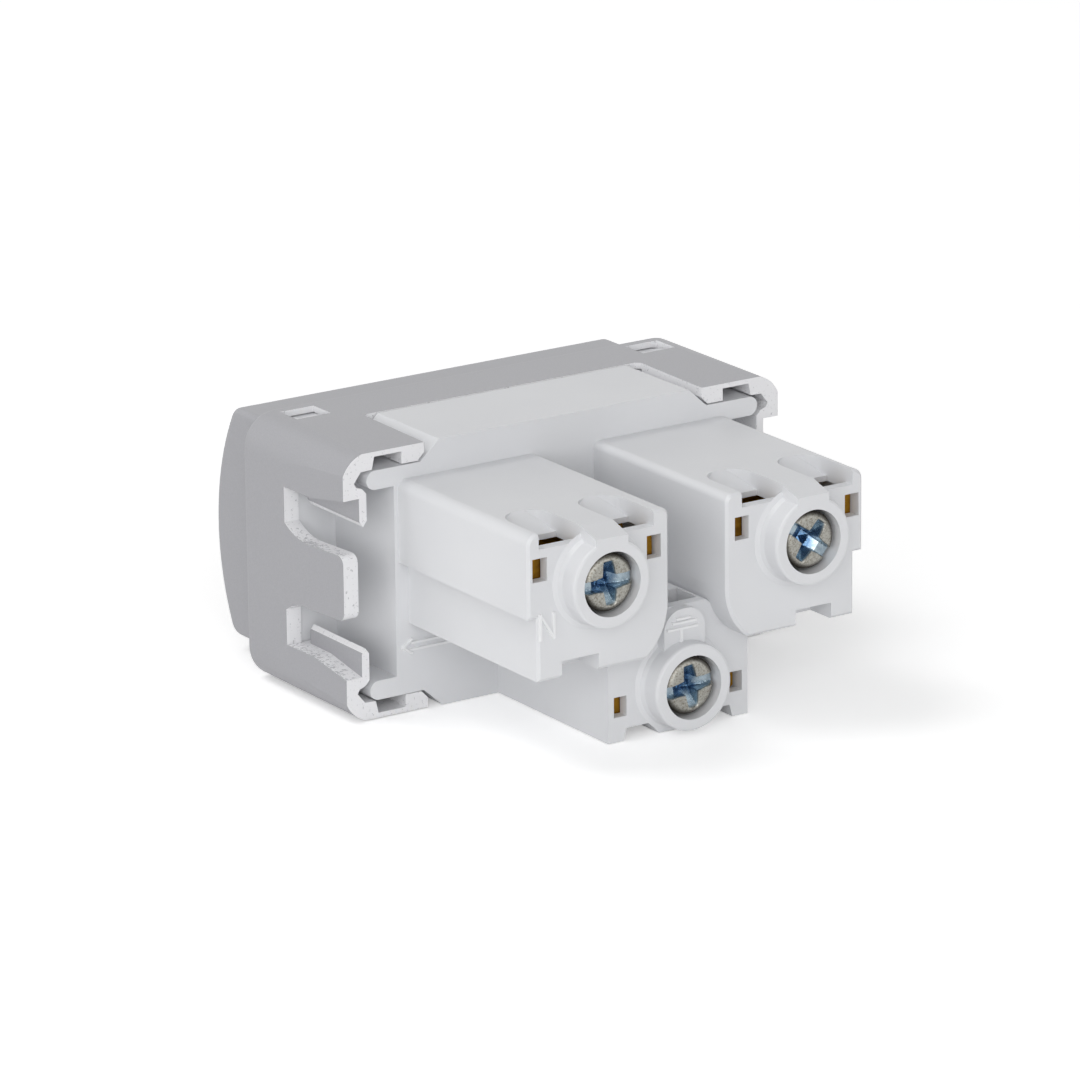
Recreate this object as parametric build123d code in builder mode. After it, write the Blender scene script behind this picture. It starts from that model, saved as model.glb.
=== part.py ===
from build123d import *
import os

# Clip-in socket outlet module. Millimetres, X along the length, Y to the terminal side, Z up.
# The origin is under the centre of the bounding box. Stations below are depths along Y,
# measured from the rear ends of the cap's arms. Heights are measured from mid-height.

# Front cap: outline
CAP_LENGTH = 45.5
CAP_HEIGHT = 23.9
CAP_CORNER = 3.0
CAP_RIM_RADIUS = 0.5
END_WALL = 1.45
TOP_WALL = 0.5
FLANGE_FRONT = -15.9
FLANGE_WALL = 1.0
END_WALL_REAR = -9.2
ARM_END = 0.0

# Front cap: arched nose, set in from the flange, its arch given by stations and a crest height
NOSE_END_STEP = 3.15
NOSE_TOP_STEP = 1.45
NOSE_TOP_STATION = -22.7
NOSE_CREST = (-26.0, -1.0)
NOSE_BOTTOM_STATION = -23.6
NOSE_ROOT = -15.2
NOSE_EDGE_RADIUS = 1.5
NOSE_END_RADIUS = 0.6
NOSE_WALL = 1.5
NOSE_CAVITY_CORNER = 2.0

# Front cap: plug recess
RECESS_DEPTH = 8.0
RECESS_FLOOR_WALL = 1.5
RECESS_END_WALL = 1.7
RECESS_FLAT_HALF = 12.0
RECESS_TOP_WALL = 2.25
RECESS_CORNER = 1.8
PIN_HOLE_RADIUS = 2.65
PIN_SPACING = 19.0
EARTH_PIN_DROP = 3.0

# Front cap: section of one arm with its hooked lip. Insets run in from the cap's end, drops
# run down from its top, and the hook's points are (inset, drop)
ARM_INNER_INSET = 8.4
ARM_WALL = 0.55
ARM_END_DRAFT = 0.25
ARM_TOP_DRAFT = 0.12
ARM_FOOT_DROP = 4.85
LIP_INSET = 1.82
LIP_WALL = 0.73
LIP_TIP_DROP = 6.55
LIP_SHOULDER_DROP = 6.05
LIP_START = -8.3
ARM_HOOK = [(2.55, 3.65), (2.15, 3.2), (1.55, 2.98), (1.35, 2.6), (2.05, 1.7), (3.15, 1.65)]
ARM_WALL_END_INSET = 3.4
ARM_RIB_INSET = 6.15
ARM_RIB_DROP = 1.65
ARM_RIB_CHAMFER = 0.65
ARM_FOOT_RISE = 0.85
ARM_FOOT_RISE_START = -5.0
TOP_CUT_EDGE = -9.7
TOP_CUT_CHAMFER = 0.4

# Front cap: snap tongues and snap windows
TONGUE_ROOT_HALF = 3.9
TONGUE_HALF = 2.9
TONGUE_NECK = -5.4
TONGUE_FLARE_MID = (-7.6, 3.15)
TONGUE_END = -0.5
TONGUE_END_INSET = 0.45
TONGUE_END_RADIUS = 0.8
WINDOW_INSET = 4.75
WINDOW_LENGTH = 3.4
WINDOW_FRONT = -14.6
WINDOW_REAR = -11.8

# Rear body: block, rails and flange
BODY_REAR = 0.1
BLOCK_FRONT = -9.6
BLOCK_TOP_GAP = 1.45
BLOCK_GAP = 0.05
BLOCK_END_INSET = 5.25
BLOCK_SLOPE = 1.9
RAIL_DROP = 1.7
RAIL_THICK = 1.7
RAIL_END_INSET = 2.55
FLANGE_GAP = 0.1
BODY_FLANGE_REAR = -9.4
BODY_FLANGE_FRONT = -14.8
BOSS_GAP = 0.15
NIB_LENGTH = 3.0
NIB_HEIGHT = 0.45
NIB_GAP = 0.2

# Rear body: neutral and line towers, sizes given for the neutral side
TOWER_REAR = 20.0
TOWER_TOP = 9.0
TOWER_END_STEP = 0.38
TOWER_SIDE_STEP = 0.92
TOWER_STEP = 1.65
TOWER_INNER = 2.92
TOWER_BOTTOM = -3.9
TOWER_FLARE_TOP = 0.5
TOWER_FLARE_MID = (3.5, -1.8)
TOWER_FLARE_FOOT = 5.2
TOWER_OUTER_RADIUS = 1.0
TOWER_INNER_RADIUS = 0.7
TOWER_REAR_CHAMFER = 0.25
TOWER_NOTCH_START = 0.15
TOWER_NOTCH_LENGTH = 3.7
TOWER_NOTCH_HEIGHT = 1.45
TOWER_NOTCH_DEPTH = 3.0
TOWER_INNER_WALL = 0.83
TOWER_OUTER_WALL = 0.47
REAR_WALL = 1.0

# Rear body: screw collars, wire scoops and test windows. A collar's foot and rim are given as
# (distance out from the collar, distance up from its foot or down from its face)
SCREW_OFFSET = 0.05
SCREW_HEIGHT = 4.2
COLLAR_RADIUS = 3.85
COLLAR_HEIGHT = 2.35
COLLAR_BORE = 2.82
COLLAR_FOOT = [(0.6, 0.0), (0.18, 0.18), (0.0, 0.6)]
COLLAR_RIM = [(0.0, 0.25), (0.07, 0.07), (0.25, 0.0)]
COLLAR_SINK = 0.5
COLLAR_NECK = 3.2
COLLAR_NECK_DROP = 0.7
SCOOP_INNER_INSET = 3.68
SCOOP_OUTER_INSET = 3.22
SCOOP_RADIUS = 2.1
SCOOP_TIP = 13.5
SCOOP_FLOOR = [(13.4, 9.3), (14.3, 8.2), (16.5, 7.6)]
ENTRY_FRONT = 16.3
ENTRY_LEDGE = 7.65
TEST_WINDOW_INSET = 0.03
TEST_WINDOW_LENGTH = 1.45
TEST_WINDOW_HEIGHTS = (4.85, 6.88)

# Rear body: chambers of the neutral and line contacts
CHAMBER_HEIGHTS = (1.8, 7.1)
SLEEVE_BAY_GAP = 0.28
SLEEVE_BAY_BOTTOM = -3.2
SLEEVE_BAY_REAR = 15.6

# Rear body: earth tower, its outline running down from its top to the foot with its groove
EARTH_FORWARD = 3.0
EARTH_TOP = -0.9
EARTH_TOP_HALF = 2.9
EARTH_SHOULDER = (7.2, -5.1)
EARTH_GROOVE = [(5.6, 0.0), (5.3, 1.1), (2.9, 1.1), (2.0, 0.0)]
EARTH_SCREW_RISE = 4.3
EARTH_PAD_HALF = 2.1
EARTH_PAD_FACE = 1.0
EARTH_PAD_RADIUS = 1.9
EARTH_WINDOW_X = (5.3, 6.6)
EARTH_WINDOW_RISES = (-2.1, -0.3)
EARTH_ENTRY_HALF = 2.65
EARTH_ENTRY_FRONT = 13.0
EARTH_BAY_REAR = -0.7
EARTH_CHAMBER_HALF = 6.6
EARTH_CHAMBER_RISES = (-2.4, 2.6)
EARTH_CHANNEL_HALF = 3.25
EARTH_CHANNEL_TOP = -1.8
EARTH_CHANNEL_REAR = 12.6

# Contacts: pin sleeves, strips and terminal tails
SLEEVE_BORE = 2.42
SLEEVE_WALL = 0.7
SLEEVE_FRONT = -15.8
SLEEVE_LENGTH = 11.0
SLEEVE_SLIT = 0.8
STRIP_START = -6.0
STRIP_HALF = 2.3
TAIL_REAR = 15.5
TAIL_THICK = 0.8
TAIL_GAPS = (0.85, 0.75)
TAIL_HEIGHTS = (2.1, 6.9)
TAIL_HOLE = 1.9
EARTH_STRIP_HEIGHTS = (-4.4, -1.9)
EARTH_TAIL_HALF = 5.6
EARTH_TAIL_RISES = (-2.2, 2.4)
EARTH_RISER_START = 0.2

# Sleeve springs
SPRING_WALL = 0.4
SPRING_FRONT = -13.4
SPRING_LENGTH = 5.0
SPRING_MOUTH = 4.4

# Terminal nuts, clamp plates and screws
NUT_LENGTH = 9.0
NUT_HEIGHT = 4.7
NUT_THICK = 2.0
THREAD_BORE = 1.75
CLAMP_THICK = 0.9
CLAMP_REAR = 18.9
CLAMP_GAPS = (0.2, 0.1)
CLAMP_HEIGHTS = (2.0, 6.9)
CLAMP_CORNER = 0.4
EARTH_CLAMP_HALF = 6.4
EARTH_CLAMP_RISES = (-2.25, 2.45)
SCREW_HEAD_RADIUS = 2.25
SCREW_HEAD_HEIGHT = 2.75
SCREW_HEAD_CHAMFER = 0.25
SCREW_SHANK_RADIUS = 1.7
SCREW_SHANK_LENGTH = 6.7
SCREW_SLOT = 0.8
SCREW_SLOT_DEPTH = 1.0
SCREW_CROSS = 3.2
SCREW_CROSS_WIDTH = 0.9
SCREW_CROSS_DEPTH = 1.4

# Worked out from the sizes above: cap
HALF_LENGTH = CAP_LENGTH / 2
HALF_HEIGHT = CAP_HEIGHT / 2
MID_Z = HALF_HEIGHT
CORNER_SAGITTA = CAP_CORNER * (1 - 0.5 ** 0.5)
NOSE_LENGTH = CAP_LENGTH - 2 * NOSE_END_STEP
NOSE_HALF = HALF_HEIGHT - NOSE_TOP_STEP
NOSE_TOP = (NOSE_TOP_STATION, NOSE_HALF)
NOSE_BOTTOM = (NOSE_BOTTOM_STATION, -NOSE_HALF)
NOSE_CAVITY_LENGTH = NOSE_LENGTH - 2 * NOSE_WALL
NOSE_CAVITY_HEIGHT = 2 * (NOSE_HALF - NOSE_WALL)
RECESS_HALF_LENGTH = NOSE_LENGTH / 2 - RECESS_END_WALL
RECESS_HALF_HEIGHT = NOSE_HALF - RECESS_TOP_WALL
RECESS_FLOOR = NOSE_CREST[0] + RECESS_DEPTH
CAVITY_FRONT = FLANGE_FRONT + FLANGE_WALL
ARM_INNER = HALF_LENGTH - ARM_INNER_INSET
ARM_UNDER = HALF_HEIGHT - ARM_WALL
ARM_FOOT = HALF_HEIGHT - ARM_FOOT_DROP
LIP_OUTER = HALF_LENGTH - LIP_INSET
LIP_INNER = LIP_OUTER - LIP_WALL
LIP_TIP = HALF_HEIGHT - LIP_TIP_DROP
LIP_SHOULDER = HALF_HEIGHT - LIP_SHOULDER_DROP
HOOK_POINTS = [(HALF_LENGTH - inset, HALF_HEIGHT - drop) for inset, drop in ARM_HOOK]
ARM_WALL_END = HALF_LENGTH - ARM_WALL_END_INSET
ARM_RIB = HALF_LENGTH - ARM_RIB_INSET
ARM_RIB_TIP = HALF_HEIGHT - ARM_RIB_DROP
TONGUE_END_X = HALF_LENGTH - TONGUE_END_INSET
WINDOW_X = HALF_LENGTH - WINDOW_INSET

# Worked out from the sizes above: rear body
BODY_FRONT = RECESS_FLOOR + RECESS_FLOOR_WALL
BLOCK_HEIGHT = HALF_HEIGHT - BLOCK_GAP
BLOCK_HALF_TOP = ARM_INNER - BLOCK_TOP_GAP
BLOCK_END = HALF_LENGTH - BLOCK_END_INSET
RAIL_ROOT = BLOCK_HALF_TOP + BLOCK_SLOPE
RAIL_TOP = BLOCK_HEIGHT - RAIL_DROP
RAIL_BOTTOM = RAIL_TOP - RAIL_THICK
RAIL_END = HALF_LENGTH - RAIL_END_INSET
TOWER_OUTER = BLOCK_END - TOWER_END_STEP
TOWER_OUTER_LOW = TOWER_OUTER - TOWER_SIDE_STEP
TOWER_NOTCH_TOP = TOWER_BOTTOM + TOWER_NOTCH_HEIGHT
TOWER_CHAMBER_REAR = TOWER_REAR - REAR_WALL
CHAMBER_X = (TOWER_INNER + TOWER_INNER_WALL, TOWER_OUTER - TOWER_OUTER_WALL)
TEST_WINDOWS = [
    (CHAMBER_X[0] + TEST_WINDOW_INSET, CHAMBER_X[0] + TEST_WINDOW_LENGTH),
    (CHAMBER_X[1] - TEST_WINDOW_LENGTH, CHAMBER_X[1]),
]
SCREW_X = (CHAMBER_X[0] + CHAMBER_X[1]) / 2 + SCREW_OFFSET
TOWER_NOTCH = (SCREW_X - TOWER_NOTCH_START, SCREW_X - TOWER_NOTCH_START + TOWER_NOTCH_LENGTH)
SCOOP_PLACES = (TOWER_INNER + SCOOP_INNER_INSET, TOWER_OUTER - SCOOP_OUTER_INSET)
COLLAR_FACE = TOWER_REAR + COLLAR_HEIGHT
DATUM_Y = -(NOSE_CREST[0] + COLLAR_FACE) / 2
EARTH_REAR = TOWER_REAR - EARTH_FORWARD
EARTH_CHAMBER_REAR = EARTH_REAR - REAR_WALL
EARTH_SCREW_HEIGHT = EARTH_SCREW_RISE - BLOCK_HEIGHT
EARTH_OUTLINE = [
    (0, EARTH_TOP), (EARTH_TOP_HALF, EARTH_TOP), EARTH_SHOULDER, (EARTH_SHOULDER[0], -BLOCK_HEIGHT),
    *[(x, rise - BLOCK_HEIGHT) for x, rise in EARTH_GROOVE], (0, -BLOCK_HEIGHT),
]
EARTH_WINDOW_HEIGHTS = tuple(EARTH_SCREW_HEIGHT + rise for rise in EARTH_WINDOW_RISES)
EARTH_CHAMBER_HEIGHTS = tuple(EARTH_SCREW_HEIGHT + rise for rise in EARTH_CHAMBER_RISES)

# Worked out from the sizes above: contacts and clamps
PIN_X = PIN_SPACING / 2
PIN_PLACES = [(PIN_X, 0), (-PIN_X, 0), (0, -EARTH_PIN_DROP)]
SLEEVE_RADIUS = SLEEVE_BORE + SLEEVE_WALL
SLEEVE_BAY_HALF = SLEEVE_RADIUS + SPRING_WALL + SLEEVE_BAY_GAP
SLEEVE_BAY_X = (PIN_X - SLEEVE_BAY_HALF, PIN_X + SLEEVE_BAY_HALF)
STRIP_X = (PIN_X - STRIP_HALF, PIN_X + STRIP_HALF)
SLIT_X = (PIN_X - SLEEVE_SLIT / 2, PIN_X + SLEEVE_SLIT / 2)
TAIL_X = (CHAMBER_X[0] + TAIL_GAPS[0], CHAMBER_X[1] - TAIL_GAPS[1])
CLAMP_X = (CHAMBER_X[0] + CLAMP_GAPS[0], CHAMBER_X[1] - CLAMP_GAPS[1])
EARTH_TAIL_HEIGHTS = tuple(EARTH_SCREW_HEIGHT + rise for rise in EARTH_TAIL_RISES)
EARTH_CLAMP_HEIGHTS = tuple(EARTH_SCREW_HEIGHT + rise for rise in EARTH_CLAMP_RISES)
OVERRUN = 1.0

# One row for each terminal: name, side, screw x, screw height, set forward, pin x, pin height
TERMINALS = [
    ("neutral", 1, SCREW_X, SCREW_HEIGHT, 0.0, PIN_X, 0.0),
    ("line", -1, -SCREW_X, SCREW_HEIGHT, 0.0, -PIN_X, 0.0),
    ("earth", 0, 0.0, EARTH_SCREW_HEIGHT, EARTH_FORWARD, 0.0, -EARTH_PIN_DROP),
]


def across(station):
    """Plane across the depth: local x along the length, local y up, normal to the front."""
    return Plane(origin=(0, DATUM_Y + station, MID_Z), x_dir=(1, 0, 0), z_dir=(0, -1, 0))


def beside(x):
    """Plane across the length: local x to the rear, local y up, normal along the length."""
    return Plane(origin=(x, DATUM_Y, MID_Z), x_dir=(0, 1, 0), z_dir=(1, 0, 0))


def level(height):
    """Horizontal plane: local x along the length, local y to the rear, normal up."""
    return Plane(origin=(0, DATUM_Y, MID_Z + height), x_dir=(1, 0, 0), z_dir=(0, 0, 1))


def corner(x, y):
    """The corner of the sketch in progress that is nearest to (x, y)."""
    return vertices().sort_by_distance((x, y))[0]


def block_between(xs, ys, side=1):
    """Rectangle of the sketch in progress between two x and two y, mirrored where side is -1."""
    with Locations((side * (xs[0] + xs[1]) / 2, (ys[0] + ys[1]) / 2)):
        Rectangle(abs(xs[1] - xs[0]), abs(ys[1] - ys[0]))


os.makedirs("parts", exist_ok=True)

# Front cap: nose, flange, four hooked arms and two snap tongues in one moulding
with BuildPart() as front_cap:
    with BuildSketch(beside(-NOSE_LENGTH / 2)):
        with BuildLine():
            ThreePointArc(NOSE_TOP, NOSE_CREST, NOSE_BOTTOM)
            Polyline(NOSE_BOTTOM, (NOSE_ROOT, NOSE_BOTTOM[1]), (NOSE_ROOT, NOSE_TOP[1]), NOSE_TOP)
        make_face()
        fillet([corner(*NOSE_TOP), corner(*NOSE_BOTTOM)], NOSE_EDGE_RADIUS)
    extrude(amount=NOSE_LENGTH)
    nose_ends = front_cap.faces().sort_by(Axis.X)
    fillet(nose_ends[0].edges() + nose_ends[-1].edges(), NOSE_END_RADIUS)

    with BuildSketch(across(END_WALL_REAR)):
        RectangleRounded(CAP_LENGTH, CAP_HEIGHT, CAP_CORNER)
    extrude(amount=END_WALL_REAR - FLANGE_FRONT)
    flange_front = front_cap.faces().filter_by(Axis.Y).sort_by(SortBy.AREA)
    rim = flange_front.filter_by(lambda f: abs(f.center().Y - DATUM_Y - FLANGE_FRONT) < 0.01)[-1]
    fillet(rim.outer_wire().edges(), CAP_RIM_RADIUS)

    # Hooked arms, drawn for one corner and mirrored to the other three
    with BuildSketch(across(ARM_END)):
        with BuildLine():
            corner_arc = ThreePointArc(
                (HALF_LENGTH - CAP_CORNER, HALF_HEIGHT),
                (HALF_LENGTH - CORNER_SAGITTA, HALF_HEIGHT - CORNER_SAGITTA),
                (HALF_LENGTH, HALF_HEIGHT - CAP_CORNER),
            )
            Polyline(
                corner_arc @ 1,
                (HALF_LENGTH, ARM_FOOT),
                (LIP_OUTER, ARM_FOOT),
                (LIP_OUTER, LIP_SHOULDER),
                ((LIP_OUTER + LIP_INNER) / 2, LIP_TIP),
                (LIP_INNER, LIP_SHOULDER),
                *HOOK_POINTS,
                (ARM_WALL_END, ARM_UNDER),
                (ARM_RIB, ARM_UNDER),
                (ARM_RIB, ARM_RIB_TIP),
                (ARM_INNER + ARM_RIB_CHAMFER, ARM_RIB_TIP),
                (ARM_INNER, ARM_RIB_TIP + ARM_RIB_CHAMFER),
                (ARM_INNER, HALF_HEIGHT),
                corner_arc @ 0,
            )
        make_face()
        mirror(about=Plane.XZ)
        mirror(about=Plane.YZ)
    extrude(amount=ARM_END - END_WALL_REAR)

    # Draft: the arms draw in a little towards their ends, outside and on top
    with BuildSketch(level(-CAP_HEIGHT)):
        with BuildLine():
            Polyline(
                (HALF_LENGTH, END_WALL_REAR),
                (HALF_LENGTH - ARM_END_DRAFT, ARM_END),
                (HALF_LENGTH, ARM_END),
                close=True,
            )
        make_face()
        mirror(about=Plane.YZ)
    extrude(amount=2 * CAP_HEIGHT, mode=Mode.SUBTRACT)
    with BuildSketch(beside(-CAP_LENGTH)):
        with BuildLine():
            Polyline(
                (END_WALL_REAR, HALF_HEIGHT),
                (ARM_END, HALF_HEIGHT - ARM_TOP_DRAFT),
                (ARM_END, HALF_HEIGHT),
                close=True,
            )
        make_face()
        mirror(about=Plane.XZ)
    extrude(amount=2 * CAP_LENGTH, mode=Mode.SUBTRACT)

    # The lips start a little behind the end wall
    with BuildSketch(across(LIP_START)):
        block_between((LIP_INNER - OVERRUN, LIP_OUTER), (LIP_TIP - OVERRUN, ARM_FOOT))
        mirror(about=Plane.XZ)
        mirror(about=Plane.YZ)
    extrude(amount=LIP_START - END_WALL_REAR, mode=Mode.SUBTRACT)

    for side in (1, -1):
        # The free edges of the arms rise towards their ends
        with BuildSketch(beside(side * LIP_OUTER)):
            with BuildLine():
                Polyline(
                    (ARM_FOOT_RISE_START, ARM_FOOT),
                    (ARM_END, ARM_FOOT + ARM_FOOT_RISE),
                    (ARM_END, ARM_FOOT),
                    close=True,
                )
            make_face()
            mirror(about=Plane.XZ)
        extrude(amount=side * END_WALL * 2, mode=Mode.SUBTRACT)

        # Snap tongue with a flared root and an inward lead
        with BuildSketch(beside(side * (TONGUE_END_X - END_WALL))):
            with BuildLine():
                flare = ThreePointArc(
                    (END_WALL_REAR, TONGUE_ROOT_HALF), TONGUE_FLARE_MID, (TONGUE_NECK, TONGUE_HALF)
                )
                Polyline(flare @ 1, (TONGUE_END, TONGUE_HALF), (TONGUE_END, 0), (END_WALL_REAR, 0), flare @ 0)
            make_face()
            fillet(corner(TONGUE_END, TONGUE_HALF), TONGUE_END_RADIUS)
            mirror(about=Plane.XZ)
        extrude(amount=side * (HALF_LENGTH - TONGUE_END_X + END_WALL))
        with BuildSketch(level(-TONGUE_ROOT_HALF)):
            with BuildLine():
                Polyline(
                    (side * HALF_LENGTH, TONGUE_NECK),
                    (side * TONGUE_END_X, TONGUE_END),
                    (side * (HALF_LENGTH + OVERRUN), TONGUE_END),
                    close=True,
                )
            make_face()
            with BuildLine():
                Polyline(
                    (side * (TONGUE_END_X - END_WALL), TONGUE_END),
                    (side * (HALF_LENGTH - END_WALL), TONGUE_NECK),
                    (side * (HALF_LENGTH - END_WALL), END_WALL_REAR),
                    (side * (TONGUE_END_X - END_WALL - OVERRUN), END_WALL_REAR),
                    close=True,
                )
            make_face()
        extrude(amount=2 * TONGUE_ROOT_HALF, mode=Mode.SUBTRACT)

    # Hollow for the rear body: wide behind the flange, narrower in the nose
    with BuildSketch(across(END_WALL_REAR)):
        RectangleRounded(CAP_LENGTH - 2 * END_WALL, 2 * ARM_UNDER, CAP_CORNER - TOP_WALL)
    extrude(amount=END_WALL_REAR - CAVITY_FRONT, mode=Mode.SUBTRACT)
    with BuildSketch(across(CAVITY_FRONT)):
        RectangleRounded(NOSE_CAVITY_LENGTH, NOSE_CAVITY_HEIGHT, NOSE_CAVITY_CORNER)
    extrude(amount=CAVITY_FRONT - BODY_FRONT, mode=Mode.SUBTRACT)

    # Plug recess with its three pin holes
    with BuildSketch(across(RECESS_FLOOR)):
        with BuildLine():
            Polyline(
                (RECESS_HALF_LENGTH, 0),
                (RECESS_FLAT_HALF, RECESS_HALF_HEIGHT),
                (-RECESS_FLAT_HALF, RECESS_HALF_HEIGHT),
                (-RECESS_HALF_LENGTH, 0),
                (-RECESS_FLAT_HALF, -RECESS_HALF_HEIGHT),
                (RECESS_FLAT_HALF, -RECESS_HALF_HEIGHT),
                close=True,
            )
        make_face()
        fillet(vertices(), RECESS_CORNER)
    extrude(amount=RECESS_DEPTH + OVERRUN, mode=Mode.SUBTRACT)
    with BuildSketch(across(BODY_FRONT)):
        with Locations(*PIN_PLACES):
            Circle(PIN_HOLE_RADIUS)
    extrude(amount=RECESS_FLOOR_WALL, mode=Mode.SUBTRACT)

    # Snap windows through the top and bottom walls
    with BuildSketch(level(-CAP_HEIGHT)):
        for side in (1, -1):
            with Locations((side * WINDOW_X, (WINDOW_FRONT + WINDOW_REAR) / 2)):
                Rectangle(WINDOW_LENGTH, WINDOW_REAR - WINDOW_FRONT)
    extrude(amount=2 * CAP_HEIGHT, mode=Mode.SUBTRACT)

    # Edge of the top and bottom walls between the arms, set a little forward
    with BuildSketch(level(-CAP_HEIGHT)):
        with BuildLine():
            Polyline(
                (-ARM_INNER, END_WALL_REAR),
                (-ARM_INNER, TOP_CUT_EDGE + TOP_CUT_CHAMFER),
                (-ARM_INNER + TOP_CUT_CHAMFER, TOP_CUT_EDGE),
                (ARM_INNER - TOP_CUT_CHAMFER, TOP_CUT_EDGE),
                (ARM_INNER, TOP_CUT_EDGE + TOP_CUT_CHAMFER),
                (ARM_INNER, END_WALL_REAR),
                close=True,
            )
        make_face()
    extrude(amount=2 * CAP_HEIGHT, mode=Mode.SUBTRACT)
front_cap.part.label = "front_cap"
export_step(front_cap.part, "parts/front_cap.step")

# Screw collar: a ring with a flared foot, turned about its own axis and used on each tower
with BuildPart() as collar:
    with BuildSketch(Plane.XY):
        with BuildLine():
            Polyline(
                (0, -COLLAR_SINK),
                (COLLAR_RADIUS + COLLAR_FOOT[0][0], -COLLAR_SINK),
                *[(COLLAR_RADIUS + out, up) for out, up in COLLAR_FOOT],
                *[(COLLAR_RADIUS - back, COLLAR_HEIGHT - down) for back, down in COLLAR_RIM],
                (0, COLLAR_HEIGHT),
                close=True,
            )
        make_face()
    revolve(axis=Axis.Y)

# Wire scoop: the hollow that guides a wire down into its pocket, with a rounded tip and floor
with BuildPart() as scoop:
    with BuildSketch(Plane.XY.offset(ENTRY_LEDGE - OVERRUN)):
        with BuildLine():
            tip_arc = ThreePointArc(
                (-SCOOP_RADIUS, SCOOP_TIP + SCOOP_RADIUS),
                (0, SCOOP_TIP),
                (SCOOP_RADIUS, SCOOP_TIP + SCOOP_RADIUS),
            )
            Polyline(tip_arc @ 1, (SCOOP_RADIUS, ENTRY_FRONT), (-SCOOP_RADIUS, ENTRY_FRONT), tip_arc @ 0)
        make_face()
    extrude(amount=TOWER_TOP - ENTRY_LEDGE + 2 * OVERRUN)
    with BuildSketch(Plane.YZ.offset(-SCOOP_RADIUS)):
        with BuildLine():
            floor_arc = ThreePointArc(*SCOOP_FLOOR)
            Polyline(
                floor_arc @ 1,
                (SCOOP_FLOOR[2][0], TOWER_TOP + OVERRUN),
                (SCOOP_FLOOR[0][0], TOWER_TOP + OVERRUN),
                floor_arc @ 0,
            )
        make_face()
    extrude(amount=2 * SCOOP_RADIUS, mode=Mode.INTERSECT)

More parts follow.
